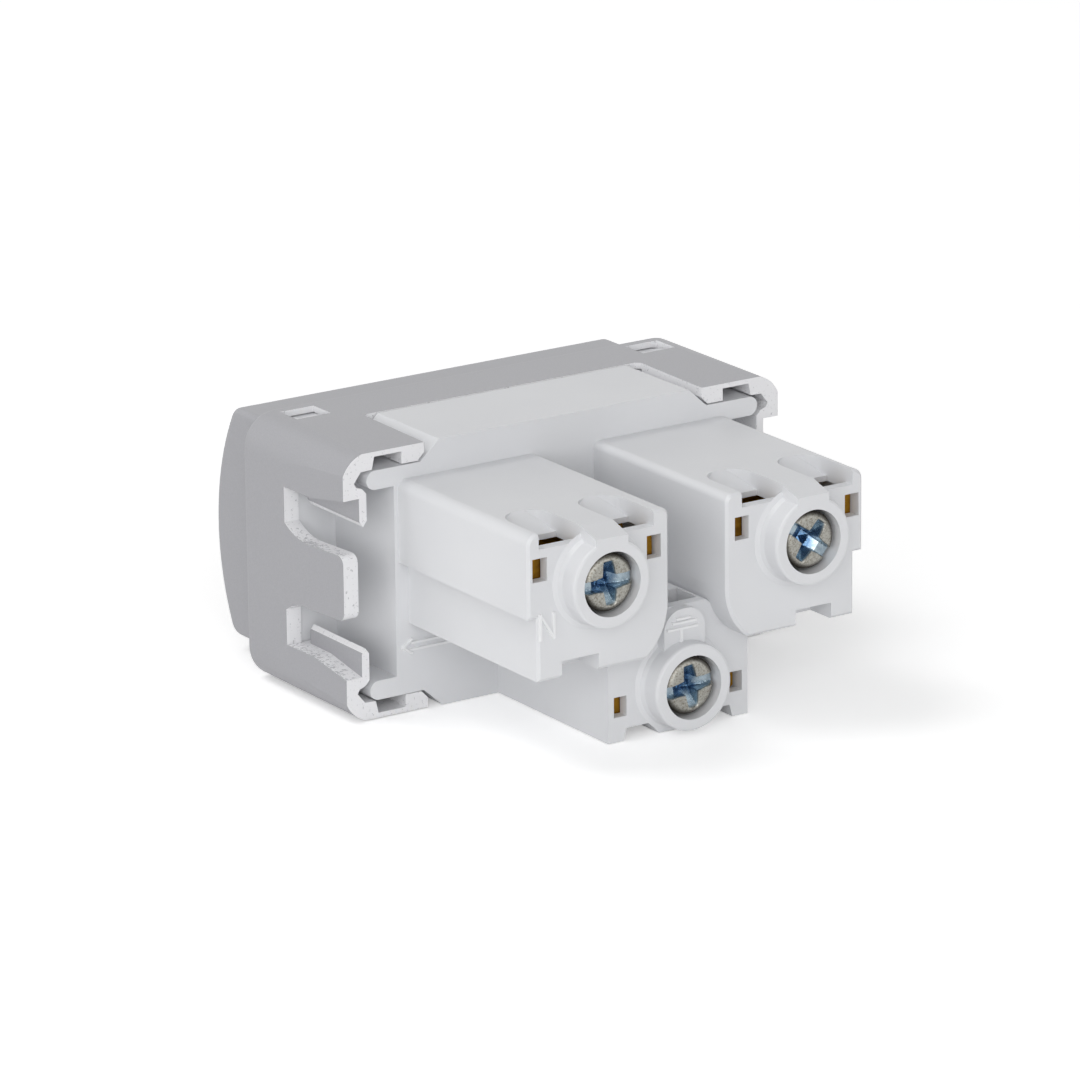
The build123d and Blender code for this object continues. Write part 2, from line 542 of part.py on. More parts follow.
# Rear body: block with guide rails, flange with snap nibs, boss and three terminal towers
with BuildPart() as rear_body:
    with BuildSketch(across(BODY_REAR)):
        with BuildLine():
            rail_round = ThreePointArc(
                (RAIL_END - (RAIL_TOP - RAIL_BOTTOM) / 2, RAIL_TOP),
                (RAIL_END, (RAIL_TOP + RAIL_BOTTOM) / 2),
                (RAIL_END - (RAIL_TOP - RAIL_BOTTOM) / 2, RAIL_BOTTOM),
            )
            Polyline(
                rail_round @ 1, (BLOCK_END, RAIL_BOTTOM), (BLOCK_END, 0), (0, 0), (0, BLOCK_HEIGHT),
                (BLOCK_HALF_TOP, BLOCK_HEIGHT), (RAIL_ROOT, RAIL_TOP), rail_round @ 0,
            )
        make_face()
        mirror(about=Plane.XZ)
        mirror(about=Plane.YZ)
    extrude(amount=BODY_REAR - BLOCK_FRONT)
    with BuildSketch(across(BODY_FLANGE_REAR)):
        RectangleRounded(CAP_LENGTH - 2 * END_WALL - 2 * FLANGE_GAP, 2 * (ARM_UNDER - FLANGE_GAP),
                         CAP_CORNER - TOP_WALL - FLANGE_GAP)
    extrude(amount=BODY_FLANGE_REAR - BODY_FLANGE_FRONT)
    with BuildSketch(across(BODY_FLANGE_FRONT)):
        RectangleRounded(NOSE_CAVITY_LENGTH - 2 * BOSS_GAP, NOSE_CAVITY_HEIGHT - 2 * BOSS_GAP,
                         NOSE_CAVITY_CORNER - BOSS_GAP)
    extrude(amount=BODY_FLANGE_FRONT - BODY_FRONT)

    # Ramped nibs that catch in the cap's windows
    for side in (1, -1):
        with BuildSketch(beside(side * WINDOW_X - NIB_LENGTH / 2)):
            with BuildLine():
                Polyline(
                    (WINDOW_FRONT + NIB_GAP, ARM_UNDER - OVERRUN),
                    (WINDOW_FRONT + NIB_GAP, ARM_UNDER - FLANGE_GAP),
                    (WINDOW_REAR - NIB_GAP, ARM_UNDER + NIB_HEIGHT - FLANGE_GAP),
                    (WINDOW_REAR - NIB_GAP, ARM_UNDER - OVERRUN),
                    close=True,
                )
            make_face()
            mirror(about=Plane.XZ)
        extrude(amount=NIB_LENGTH)

    # Neutral and line towers
    for side in (1, -1):
        with BuildSketch(across(TOWER_REAR)):
            with BuildLine():
                flare = ThreePointArc(
                    (TOWER_INNER, TOWER_FLARE_TOP), TOWER_FLARE_MID, (TOWER_FLARE_FOOT, TOWER_BOTTOM)
                )
                Polyline(
                    flare @ 1,
                    (TOWER_OUTER_LOW, TOWER_BOTTOM),
                    (TOWER_OUTER_LOW, TOWER_STEP),
                    (TOWER_OUTER, TOWER_STEP),
                    (TOWER_OUTER, TOWER_TOP),
                    (TOWER_INNER, TOWER_TOP),
                    flare @ 0,
                )
            make_face()
            fillet(corner(TOWER_OUTER, TOWER_TOP), TOWER_OUTER_RADIUS)
            fillet(corner(TOWER_INNER, TOWER_TOP), TOWER_INNER_RADIUS)
            if side < 0:
                mirror(about=Plane.YZ, mode=Mode.REPLACE)
        extrude(amount=TOWER_REAR - BODY_REAR + OVERRUN)

    # Earth tower with its collar and the rounded pad above it
    with BuildSketch(across(EARTH_REAR)):
        with BuildLine():
            Polyline(*EARTH_OUTLINE, close=True)
        make_face()
        mirror(about=Plane.YZ)
    extrude(amount=EARTH_REAR - BODY_REAR + OVERRUN)
    rear_faces = rear_body.faces().filter_by(Axis.Y).sort_by(Axis.Y)[-2:]
    chamfer(rear_faces.edges(), TOWER_REAR_CHAMFER)
    with Locations(
        (SCREW_X, DATUM_Y + TOWER_REAR, MID_Z + SCREW_HEIGHT),
        (-SCREW_X, DATUM_Y + TOWER_REAR, MID_Z + SCREW_HEIGHT),
        (0, DATUM_Y + EARTH_REAR, MID_Z + EARTH_SCREW_HEIGHT),
    ):
        add(collar.part)
    with BuildSketch(level(-BLOCK_HEIGHT)):
        Rectangle(CAP_LENGTH, 2 * COLLAR_FACE)
    extrude(amount=-OVERRUN, mode=Mode.SUBTRACT)
    with BuildSketch(across(EARTH_REAR + EARTH_PAD_FACE)):
        block_between((-EARTH_PAD_HALF, EARTH_PAD_HALF), (EARTH_SCREW_HEIGHT, EARTH_TOP))
        fillet([corner(EARTH_PAD_HALF, EARTH_TOP), corner(-EARTH_PAD_HALF, EARTH_TOP)], EARTH_PAD_RADIUS)
    extrude(amount=EARTH_PAD_FACE)

    for side in (1, -1):
        # Neck that carries the top of the tower over to the collar
        with BuildSketch(beside(side * SCREW_X - COLLAR_NECK / 2)):
            with BuildLine():
                Polyline(
                    (TOWER_REAR - REAR_WALL, TOWER_TOP),
                    (TOWER_REAR, TOWER_TOP),
                    (COLLAR_FACE, TOWER_TOP - COLLAR_NECK_DROP),
                    (COLLAR_FACE, SCREW_HEIGHT),
                    (TOWER_REAR - REAR_WALL, SCREW_HEIGHT),
                    close=True,
                )
            make_face()
        extrude(amount=COLLAR_NECK)

    for side in (1, -1):
        # Contact chamber, sleeve bay and screw passage
        with BuildSketch(across(TOWER_CHAMBER_REAR)):
            block_between(CHAMBER_X, CHAMBER_HEIGHTS, side)
        extrude(amount=TOWER_CHAMBER_REAR - BODY_FRONT, mode=Mode.SUBTRACT)
        with BuildSketch(across(SLEEVE_BAY_REAR)):
            block_between(SLEEVE_BAY_X, (SLEEVE_BAY_BOTTOM, CHAMBER_HEIGHTS[0]), side)
        extrude(amount=SLEEVE_BAY_REAR - BODY_FRONT, mode=Mode.SUBTRACT)
        with BuildSketch(across(COLLAR_FACE)):
            with Locations((side * SCREW_X, SCREW_HEIGHT)):
                Circle(COLLAR_BORE)
        extrude(amount=COLLAR_HEIGHT + REAR_WALL, mode=Mode.SUBTRACT)

        # Test windows and the notch between the feet
        with BuildSketch(across(TOWER_REAR)):
            for window in TEST_WINDOWS:
                block_between(window, TEST_WINDOW_HEIGHTS, side)
        extrude(amount=REAR_WALL, mode=Mode.SUBTRACT)
        with BuildSketch(across(TOWER_REAR)):
            block_between(TOWER_NOTCH, (TOWER_BOTTOM, TOWER_NOTCH_TOP), side)
        extrude(amount=TOWER_NOTCH_DEPTH, mode=Mode.SUBTRACT)

        # Wire entries: a scoop in front of each pocket and a low sill behind it
        for scoop_place in SCOOP_PLACES:
            scoop_x = side * scoop_place
            with Locations((scoop_x, DATUM_Y, MID_Z)):
                add(scoop.part, mode=Mode.SUBTRACT)
            with BuildSketch(level(TOWER_TOP)):
                with Locations((scoop_x, (ENTRY_FRONT + TOWER_CHAMBER_REAR) / 2)):
                    Rectangle(2 * SCOOP_RADIUS, TOWER_CHAMBER_REAR - ENTRY_FRONT)
            extrude(amount=-(TOWER_TOP - CHAMBER_HEIGHTS[1]), mode=Mode.SUBTRACT)
            with BuildSketch(level(TOWER_TOP)):
                with Locations((scoop_x, TOWER_REAR - REAR_WALL / 2)):
                    Rectangle(2 * SCOOP_RADIUS, REAR_WALL)
            extrude(amount=-(TOWER_TOP - ENTRY_LEDGE), mode=Mode.SUBTRACT)

    # Earth chambers, screw passage, wire entry and test windows
    with BuildSketch(across(EARTH_BAY_REAR)):
        with Locations((0, -EARTH_PIN_DROP)):
            Rectangle(2 * SLEEVE_BAY_HALF, 2 * SLEEVE_BAY_HALF)
    extrude(amount=EARTH_BAY_REAR - BODY_FRONT, mode=Mode.SUBTRACT)
    with BuildSketch(across(EARTH_CHAMBER_REAR)):
        block_between((-EARTH_CHAMBER_HALF, EARTH_CHAMBER_HALF), EARTH_CHAMBER_HEIGHTS)
    extrude(amount=EARTH_CHAMBER_REAR - BODY_FRONT, mode=Mode.SUBTRACT)
    with BuildSketch(across(EARTH_CHANNEL_REAR)):
        block_between((-EARTH_CHANNEL_HALF, EARTH_CHANNEL_HALF),
                      (EARTH_CHAMBER_HEIGHTS[1], EARTH_CHANNEL_TOP))
    extrude(amount=EARTH_CHANNEL_REAR - EARTH_BAY_REAR, mode=Mode.SUBTRACT)
    with BuildSketch(across(EARTH_REAR + COLLAR_HEIGHT)):
        with Locations((0, EARTH_SCREW_HEIGHT)):
            Circle(COLLAR_BORE)
    extrude(amount=COLLAR_HEIGHT + REAR_WALL, mode=Mode.SUBTRACT)
    with BuildSketch(level(EARTH_TOP)):
        with Locations((0, (EARTH_ENTRY_FRONT + EARTH_CHAMBER_REAR) / 2)):
            Rectangle(2 * EARTH_ENTRY_HALF, EARTH_CHAMBER_REAR - EARTH_ENTRY_FRONT)
    extrude(amount=-(EARTH_TOP - EARTH_CHAMBER_HEIGHTS[1]), mode=Mode.SUBTRACT)
    with BuildSketch(across(EARTH_REAR)):
        for side in (1, -1):
            block_between(EARTH_WINDOW_X, EARTH_WINDOW_HEIGHTS, side)
    extrude(amount=REAR_WALL, mode=Mode.SUBTRACT)
rear_body.part.label = "rear_body"
export_step(rear_body.part, "parts/rear_body.step")

for name, side, screw_x, screw_height, forward, pin_x, pin_height in TERMINALS:
    tail_rear = TAIL_REAR - forward

    # Contact: slit pin sleeve, strip along the body and tail behind the clamp
    with BuildPart() as contact:
        with BuildSketch(across(SLEEVE_FRONT + SLEEVE_LENGTH)):
            with Locations((pin_x, pin_height)):
                Circle(SLEEVE_RADIUS)
        extrude(amount=SLEEVE_LENGTH)
        if side == 0:
            with BuildSketch(across(tail_rear)):
                block_between((SLEEVE_BORE, SLEEVE_RADIUS), EARTH_STRIP_HEIGHTS)
            extrude(amount=tail_rear - STRIP_START)
            with BuildSketch(across(tail_rear)):
                block_between((EARTH_RISER_START, SLEEVE_RADIUS),
                              (EARTH_TAIL_HEIGHTS[1], EARTH_STRIP_HEIGHTS[1]))
                block_between((-EARTH_TAIL_HALF, EARTH_TAIL_HALF), EARTH_TAIL_HEIGHTS)
            extrude(amount=TAIL_THICK)
        else:
            with BuildSketch(across(tail_rear)):
                block_between(STRIP_X, (-SLEEVE_RADIUS, -SLEEVE_BORE), side)
            extrude(amount=tail_rear - STRIP_START)
            with BuildSketch(across(tail_rear)):
                block_between(STRIP_X, (-SLEEVE_RADIUS, TAIL_HEIGHTS[0]), side)
                block_between(TAIL_X, TAIL_HEIGHTS, side)
            extrude(amount=TAIL_THICK)
        with BuildSketch(across(tail_rear)):
            with Locations((screw_x, screw_height)):
                Circle(TAIL_HOLE)
        extrude(amount=TAIL_THICK, mode=Mode.SUBTRACT)
        with BuildSketch(across(SLEEVE_FRONT + SLEEVE_LENGTH)):
            with Locations((pin_x, pin_height)):
                Circle(SLEEVE_BORE)
            if side == 0:
                block_between((-SLEEVE_RADIUS - OVERRUN, 0),
                              (pin_height - SLEEVE_SLIT / 2, pin_height + SLEEVE_SLIT / 2))
            else:
                block_between(SLIT_X, (0, SLEEVE_RADIUS + OVERRUN), side)
        extrude(amount=SLEEVE_LENGTH, mode=Mode.SUBTRACT)
    contact.part.label = f"{name}_contact"
    export_step(contact.part, f"parts/{name}_contact.step")

    # Spring clip round the sleeve, open below
    with BuildPart() as spring:
        with BuildSketch(across(SPRING_FRONT + SPRING_LENGTH)):
            with Locations((pin_x, pin_height)):
                Circle(SLEEVE_RADIUS + SPRING_WALL)
                Circle(SLEEVE_RADIUS, mode=Mode.SUBTRACT)
            with Locations((pin_x, pin_height - SLEEVE_RADIUS)):
                Rectangle(SPRING_MOUTH, SLEEVE_RADIUS, mode=Mode.SUBTRACT)
        extrude(amount=SPRING_LENGTH)
    spring.part.label = f"{name}_spring"
    export_step(spring.part, f"parts/{name}_spring.step")

    # Terminal nut: a threaded plate that lies against the tail
    with BuildPart() as nut:
        with BuildSketch(across(tail_rear - TAIL_THICK)):
            with Locations((screw_x, screw_height)):
                Rectangle(NUT_LENGTH, NUT_HEIGHT)
                Circle(THREAD_BORE, mode=Mode.SUBTRACT)
        extrude(amount=NUT_THICK)
    nut.part.label = f"{name}_nut"
    export_step(nut.part, f"parts/{name}_nut.step")

    # Clamp plate, pressed onto the wire by the screw's head
    clamp_x, clamp_heights = CLAMP_X, CLAMP_HEIGHTS
    if side == 0:
        clamp_x, clamp_heights = (-EARTH_CLAMP_HALF, EARTH_CLAMP_HALF), EARTH_CLAMP_HEIGHTS
    with BuildPart() as clamp:
        with BuildSketch(across(CLAMP_REAR - forward)):
            block_between(clamp_x, clamp_heights, side or 1)
            chamfer(vertices(), CLAMP_CORNER)
            with Locations((screw_x, screw_height)):
                Circle(THREAD_BORE, mode=Mode.SUBTRACT)
        extrude(amount=CLAMP_THICK)
    clamp.part.label = f"{name}_clamp"
    export_step(clamp.part, f"parts/{name}_clamp.step")

    # Terminal screw with a combined slot and cross recess
    with BuildPart() as screw:
        with BuildSketch(across(CLAMP_REAR - forward + SCREW_HEAD_HEIGHT)):
            with Locations((screw_x, screw_height)):
                Circle(SCREW_HEAD_RADIUS)
        extrude(amount=SCREW_HEAD_HEIGHT)
        chamfer(screw.faces().sort_by(Axis.Y)[-1].edges(), SCREW_HEAD_CHAMFER)
        with BuildSketch(across(CLAMP_REAR - forward)):
            with Locations((screw_x, screw_height)):
                Circle(SCREW_SHANK_RADIUS)
        extrude(amount=SCREW_SHANK_LENGTH)
        with BuildSketch(across(CLAMP_REAR - forward + SCREW_HEAD_HEIGHT)):
            with Locations((screw_x, screw_height)):
                Rectangle(2 * SCREW_HEAD_RADIUS, SCREW_SLOT)
        extrude(amount=SCREW_SLOT_DEPTH, mode=Mode.SUBTRACT)
        with BuildSketch(across(CLAMP_REAR - forward + SCREW_HEAD_HEIGHT)):
            with Locations((screw_x, screw_height)):
                Rectangle(SCREW_CROSS_WIDTH, SCREW_CROSS)
                Rectangle(SCREW_CROSS, SCREW_CROSS_WIDTH)
        extrude(amount=SCREW_CROSS_DEPTH, mode=Mode.SUBTRACT)
    screw.part.label = f"{name}_screw"
    export_step(screw.part, f"parts/{name}_screw.step")
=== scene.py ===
"""Socket outlet module, seen from its terminal side: finishes, raised marks, light and camera."""
import logging
import math
from dataclasses import dataclass
from enum import Enum
from typing import Any, Callable, Sequence

import bmesh
import bpy
from mathutils import Matrix, Vector


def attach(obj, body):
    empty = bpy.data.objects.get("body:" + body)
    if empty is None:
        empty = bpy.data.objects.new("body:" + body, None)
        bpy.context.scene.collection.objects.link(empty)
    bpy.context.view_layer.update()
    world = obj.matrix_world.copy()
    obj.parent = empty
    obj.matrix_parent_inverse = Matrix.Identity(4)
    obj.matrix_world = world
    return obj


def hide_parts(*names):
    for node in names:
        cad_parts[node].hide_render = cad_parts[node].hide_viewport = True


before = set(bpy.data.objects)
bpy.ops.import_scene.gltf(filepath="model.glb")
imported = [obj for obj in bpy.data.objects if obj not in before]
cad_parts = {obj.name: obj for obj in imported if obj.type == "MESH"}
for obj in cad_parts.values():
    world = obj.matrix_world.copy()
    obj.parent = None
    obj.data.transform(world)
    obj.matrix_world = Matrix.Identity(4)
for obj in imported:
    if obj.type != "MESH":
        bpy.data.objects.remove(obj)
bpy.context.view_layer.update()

log = logging.getLogger("socket_outlet")

# A stroke's two ends as (x, height), and a point as (x, height, station, recess depth), all in mm
Stroke = tuple[tuple[float, float], tuple[float, float]]
Point = tuple[float, float, float, float]

MM = 0.001
# The CAD's datums in the row frame, in millimetres: the arms' rear ends and mid-height
DATUM_Y = 1.825
MID_Z = 11.95
# The colour sockets of a Mix node: its two inputs and its result
MIX_A, MIX_B, MIX_RESULT = 6, 7, 2


class Colour(Enum):
    """The object's own colours, and some painted highlights and shades, as sRGB hex values."""

    SILVER_PAINT = "9C9CA0"
    SILVER_FLAKE = "ADADB1"
    BARE_WHITE = "E6E6E8"
    BODY_WHITE = "DDDEE0"
    BODY_SHADE = "D4D5D8"
    # Painted highlight: the raised marks drawn lighter than the body, as where light catches them
    MARK_PAINTED_HIGHLIGHT = "F1F1F2"
    BRASS = "B98A2E"
    BRASS_DARK = "6E4A14"
    # In the screw recess, pale is a painted highlight and blue a painted shade that deepens with depth; pale
    # is also the spring steel's light tone
    ZINC_BLUE = "54708E"
    ZINC_PALE = "B4C4CE"
    ZINC_GREY = "BAB9B2"
    ZINC_WORN = "837D72"
    # Painted shade on the screw head's rounded rim
    ZINC_RIM_SHADE = "4A443C"
    SPRING_GREY = "8D9094"
    FLOOR_WHITE = "FFFFFF"


def linear(colour: Colour) -> tuple[float, float, float, float]:
    """Turns an sRGB hex colour to linear RGBA.

    Args:
        colour: The named colour.

    Returns:
        Red, green, blue and an alpha of 1, linear.
    """
    parts = [int(colour.value[i:i + 2], 16) / 255 for i in (0, 2, 4)]
    flat = [c / 12.92 if c <= 0.04045 else ((c + 0.055) / 1.055) ** 2.4 for c in parts]
    return (flat[0], flat[1], flat[2], 1.0)


def place(x: float, station: float, height: float) -> Vector:
    """A point of the CAD's own measures, in metres of the row frame.

    Args:
        x: Along the length, mm.
        station: Depth from the arms' rear ends, mm.
        height: From mid-height, mm.

    Returns:
        The point in metres.
    """
    return Vector((x, station + DATUM_Y, height + MID_Z)) * MM


def per_mm(size: float) -> float:
    """The texture scale that makes one period of a pattern the given size in millimetres."""
    return 1.0 / (size * MM)


def bearing(azimuth: float, elevation: float) -> Vector:
    """The unit vector towards a place, its angles in degrees, azimuth 0 at -Y and 90 at +X."""
    turn, lift = math.radians(azimuth), math.radians(elevation)
    return Vector((math.sin(turn) * math.cos(lift), -math.cos(turn) * math.cos(lift), math.sin(lift)))


def add(tree: bpy.types.NodeTree, kind: str, inputs: dict[Any, Any] | None = None,
        **settings: Any) -> bpy.types.Node:
    """Adds a node with its settings, values and links.

    Args:
        tree: The tree it goes into.
        kind: The node's type name.
        inputs: Socket name or number to a value, or to the socket that feeds it.
        **settings: Attributes of the node.

    Returns:
        The new node.
    """
    made = tree.nodes.new(kind)
    for name, value in settings.items():
        setattr(made, name, value)
    for key, value in (inputs or {}).items():
        if isinstance(value, bpy.types.NodeSocket):
            tree.links.new(value, made.inputs[key])
        else:
            made.inputs[key].default_value = value
    return made


def new_material(name: str) -> tuple[bpy.types.Material, bpy.types.NodeTree, bpy.types.Node]:
    """Starts a material with its shader already on the output.

    Args:
        name: The material's name.

    Returns:
        The material, its tree and its Principled shader.
    """
    made = bpy.data.materials.new(name)
    made.use_nodes = True
    tree = made.node_tree
    tree.nodes.clear()
    shader = add(tree, "ShaderNodeBsdfPrincipled")
    add(tree, "ShaderNodeOutputMaterial", {"Surface": shader.outputs[0]})
    return made, tree, shader


def put(name: str, data: bpy.types.ID) -> bpy.types.Object:
    """Puts new data into the scene.

    Args:
        name: The object's name.
        data: Its mesh, lamp or camera.

    Returns:
        The object.
    """
    made = bpy.data.objects.new(name, data)
    bpy.context.scene.collection.objects.link(made)
    return made


def close(build: bmesh.types.BMesh, name: str, material: bpy.types.Material) -> bpy.types.Mesh:
    """Ends a mesh that was built face by face, with its faces turned outwards.

    Args:
        build: The faces, freed here.
        name: The mesh's name.
        material: Its finish.

    Returns:
        The mesh.
    """
    bmesh.ops.recalc_face_normals(build, faces=build.faces)
    mesh = bpy.data.meshes.new(name)
    build.to_mesh(mesh)
    build.free()
    mesh.materials.append(material)
    return mesh


def dress(node: str, material: bpy.types.Material) -> None:
    """Gives a CAD node its material.

    Args:
        node: The node's name.
        material: The finish it gets.
    """
    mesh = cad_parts[node].data
    mesh.materials.clear()
    mesh.materials.append(material)
    log.info("%s: %s", node, material.name)


@dataclass(frozen=True)
class MouldedPolycarbonate:
    """White polycarbonate as it comes from a spark-eroded mould."""

    name: str = "polycarbonate_white_moulded"
    light: Colour = Colour.BODY_WHITE
    shade: Colour = Colour.BODY_SHADE
    grain_mm: float = 0.35
    grain_depth_mm: float = 0.05
    grain_strength: float = 0.06
    cloud_mm: float = 9.0
    roughness: float = 0.42
    roughness_swing: tuple[float, float] = (-0.05, 0.06)
    ior: float = 1.58

    def build(self) -> bpy.types.Material:
        """Makes the finish.

        Returns:
            The material.
        """
        made, tree, shader = new_material(self.name)
        at = add(tree, "ShaderNodeTexCoord").outputs["Object"]
        # Satin to the eye: wide soft highlights, and slow tone changes as over a thick moulding's ribs
        cloud = add(tree, "ShaderNodeTexNoise", {
            "Vector": at, "Scale": per_mm(self.cloud_mm), "Detail": 2.0})
        tone = add(tree, "ShaderNodeMix", {
            "Factor": cloud.outputs["Fac"], MIX_A: linear(self.light), MIX_B: linear(self.shade)},
            data_type="RGBA")
        # Mould grain is about 0.03 mm: drawn ten times as coarse, so that it shows at all
        grain = add(tree, "ShaderNodeTexNoise", {
            "Vector": at, "Scale": per_mm(self.grain_mm), "Detail": 3.0})
        bump = add(tree, "ShaderNodeBump", {
            "Height": grain.outputs["Fac"], "Strength": self.grain_strength,
            "Distance": self.grain_depth_mm * MM})
        rough = add(tree, "ShaderNodeMapRange", {
            "Value": grain.outputs["Fac"], "To Min": self.roughness + self.roughness_swing[0],
            "To Max": self.roughness + self.roughness_swing[1]})
        tree.links.new(tone.outputs[MIX_RESULT], shader.inputs["Base Color"])
        tree.links.new(rough.outputs[0], shader.inputs["Roughness"])
        tree.links.new(bump.outputs[0], shader.inputs["Normal"])
        shader.inputs["IOR"].default_value = self.ior
        return made


@dataclass(frozen=True)
class SprayedCap:
    """Aluminium-coloured lacquer, sprayed on a white cap from outside."""

    name: str = "lacquer_aluminium_sprayed"
    outer_x_mm: float = 20.85
    outer_z_mm: float = 11.0
    front_mm: float = -15.6
    turned_out: float = 0.2
    speck_mm: float = 0.3
    speck_range: tuple[float, float] = (0.6, 0.68)
    speck_cover: float = 0.75
    patch_mm: float = 2.5
    drift_x_mm: tuple[float, float] = (20.6, 22.6)
    drift_gain: float = 0.28
    flake_mm: float = 0.12
    flake_depth_mm: float = 0.03
    flake_strength: float = 0.05
    metallic: float = 0.2
    roughness: float = 0.38
    ior: float = 1.5

    def covered(self, tree: bpy.types.NodeTree, at: bpy.types.NodeSocket) -> bpy.types.NodeSocket:
        """How far the lacquer covers each place: full from outside, in specks on the bare edges.

        Args:
            tree: The material's tree.
            at: Where the place is.

        Returns:
            From 0 for bare white to 1 for lacquer.
        """
        spot = add(tree, "ShaderNodeSeparateXYZ", {0: at})
        facing = add(tree, "ShaderNodeSeparateXYZ", {0: add(tree, "ShaderNodeNewGeometry").outputs["Normal"]})
        height = add(tree, "ShaderNodeMath", {0: spot.outputs["Z"], 1: MID_Z * MM}, operation="SUBTRACT")
        cover = add(tree, "ShaderNodeMath", {
            0: spot.outputs["Y"], 1: (self.front_mm + DATUM_Y) * MM}, operation="LESS_THAN")
        # The ends, top and bottom take lacquer where their faces are turned outwards
        for reach, turn, limit in ((spot.outputs["X"], facing.outputs["X"], self.outer_x_mm),
                                   (height.outputs[0], facing.outputs["Z"], self.outer_z_mm)):
            side = add(tree, "ShaderNodeMath", {0: reach}, operation="SIGN")
            outward = add(tree, "ShaderNodeMath", {0: side.outputs[0], 1: turn}, operation="MULTIPLY")
            turned = add(tree, "ShaderNodeMath", {
                0: outward.outputs[0], 1: self.turned_out}, operation="GREATER_THAN")
            distance = add(tree, "ShaderNodeMath", {0: reach}, operation="ABSOLUTE")
            outer = add(tree, "ShaderNodeMath", {
                0: distance.outputs[0], 1: limit * MM}, operation="GREATER_THAN")
            both = add(tree, "ShaderNodeMath", {
                0: outer.outputs[0], 1: turned.outputs[0]}, operation="MULTIPLY")
            cover = add(tree, "ShaderNodeMath", {
                0: cover.outputs[0], 1: both.outputs[0]}, operation="MAXIMUM")

        # Overspray: fine specks that drift onto the bare edges near the ends
        specks = add(tree, "ShaderNodeTexNoise", {
            "Vector": at, "Scale": per_mm(self.speck_mm), "Detail": 4.0, "Roughness": 0.7})
        patches = add(tree, "ShaderNodeTexNoise", {
            "Vector": at, "Scale": per_mm(self.patch_mm), "Detail": 1.0})
        from_middle = add(tree, "ShaderNodeMath", {0: spot.outputs["X"]}, operation="ABSOLUTE")
        near_end = add(tree, "ShaderNodeMapRange", {
            "Value": from_middle.outputs[0], "From Min": self.drift_x_mm[0] * MM,
            "From Max": self.drift_x_mm[1] * MM})
        level = add(tree, "ShaderNodeMath", {0: facing.outputs["Y"]}, operation="ABSOLUTE")
        turned = add(tree, "ShaderNodeMath", {0: 1.0, 1: level.outputs[0]}, operation="SUBTRACT")
        near = add(tree, "ShaderNodeMath", {
            0: near_end.outputs[0], 1: turned.outputs[0]}, operation="MULTIPLY")
        drift = add(tree, "ShaderNodeMath", {
            0: near.outputs[0], 1: patches.outputs["Fac"]}, operation="MULTIPLY")
        dense = add(tree, "ShaderNodeMath", {
            0: drift.outputs[0], 1: self.drift_gain, 2: specks.outputs["Fac"]}, operation="MULTIPLY_ADD")
        speck = add(tree, "ShaderNodeMapRange", {
            "Value": dense.outputs[0], "From Min": self.speck_range[0], "From Max": self.speck_range[1],
            "To Max": self.speck_cover})
        return add(tree, "ShaderNodeMath", {
            0: cover.outputs[0], 1: speck.outputs[0]}, operation="MAXIMUM").outputs[0]

    def build(self) -> bpy.types.Material:
        """Makes the finish.

        Returns:
            The material.
        """
        made, tree, shader = new_material(self.name)
        at = add(tree, "ShaderNodeTexCoord").outputs["Object"]
        covered = self.covered(tree, at)
        # Grey with a faint sparkle to the eye. Its flakes are 0.02 mm: drawn coarser, so that they show
        flakes = add(tree, "ShaderNodeTexNoise", {
            "Vector": at, "Scale": per_mm(self.flake_mm), "Detail": 2.0})
        paint = add(tree, "ShaderNodeMix", {
            "Factor": flakes.outputs["Fac"], MIX_A: linear(Colour.SILVER_PAINT),
            MIX_B: linear(Colour.SILVER_FLAKE)}, data_type="RGBA")
        tone = add(tree, "ShaderNodeMix", {
            "Factor": covered, MIX_A: linear(Colour.BARE_WHITE), MIX_B: paint.outputs[MIX_RESULT]},
            data_type="RGBA")
        metal = add(tree, "ShaderNodeMath", {0: covered, 1: self.metallic}, operation="MULTIPLY")
        bump = add(tree, "ShaderNodeBump", {
            "Height": flakes.outputs["Fac"], "Strength": self.flake_strength,
            "Distance": self.flake_depth_mm * MM})
        tree.links.new(tone.outputs[MIX_RESULT], shader.inputs["Base Color"])
        tree.links.new(metal.outputs[0], shader.inputs["Metallic"])
        tree.links.new(bump.outputs[0], shader.inputs["Normal"])
        shader.inputs["Roughness"].default_value = self.roughness
        shader.inputs["IOR"].default_value = self.ior
        return made


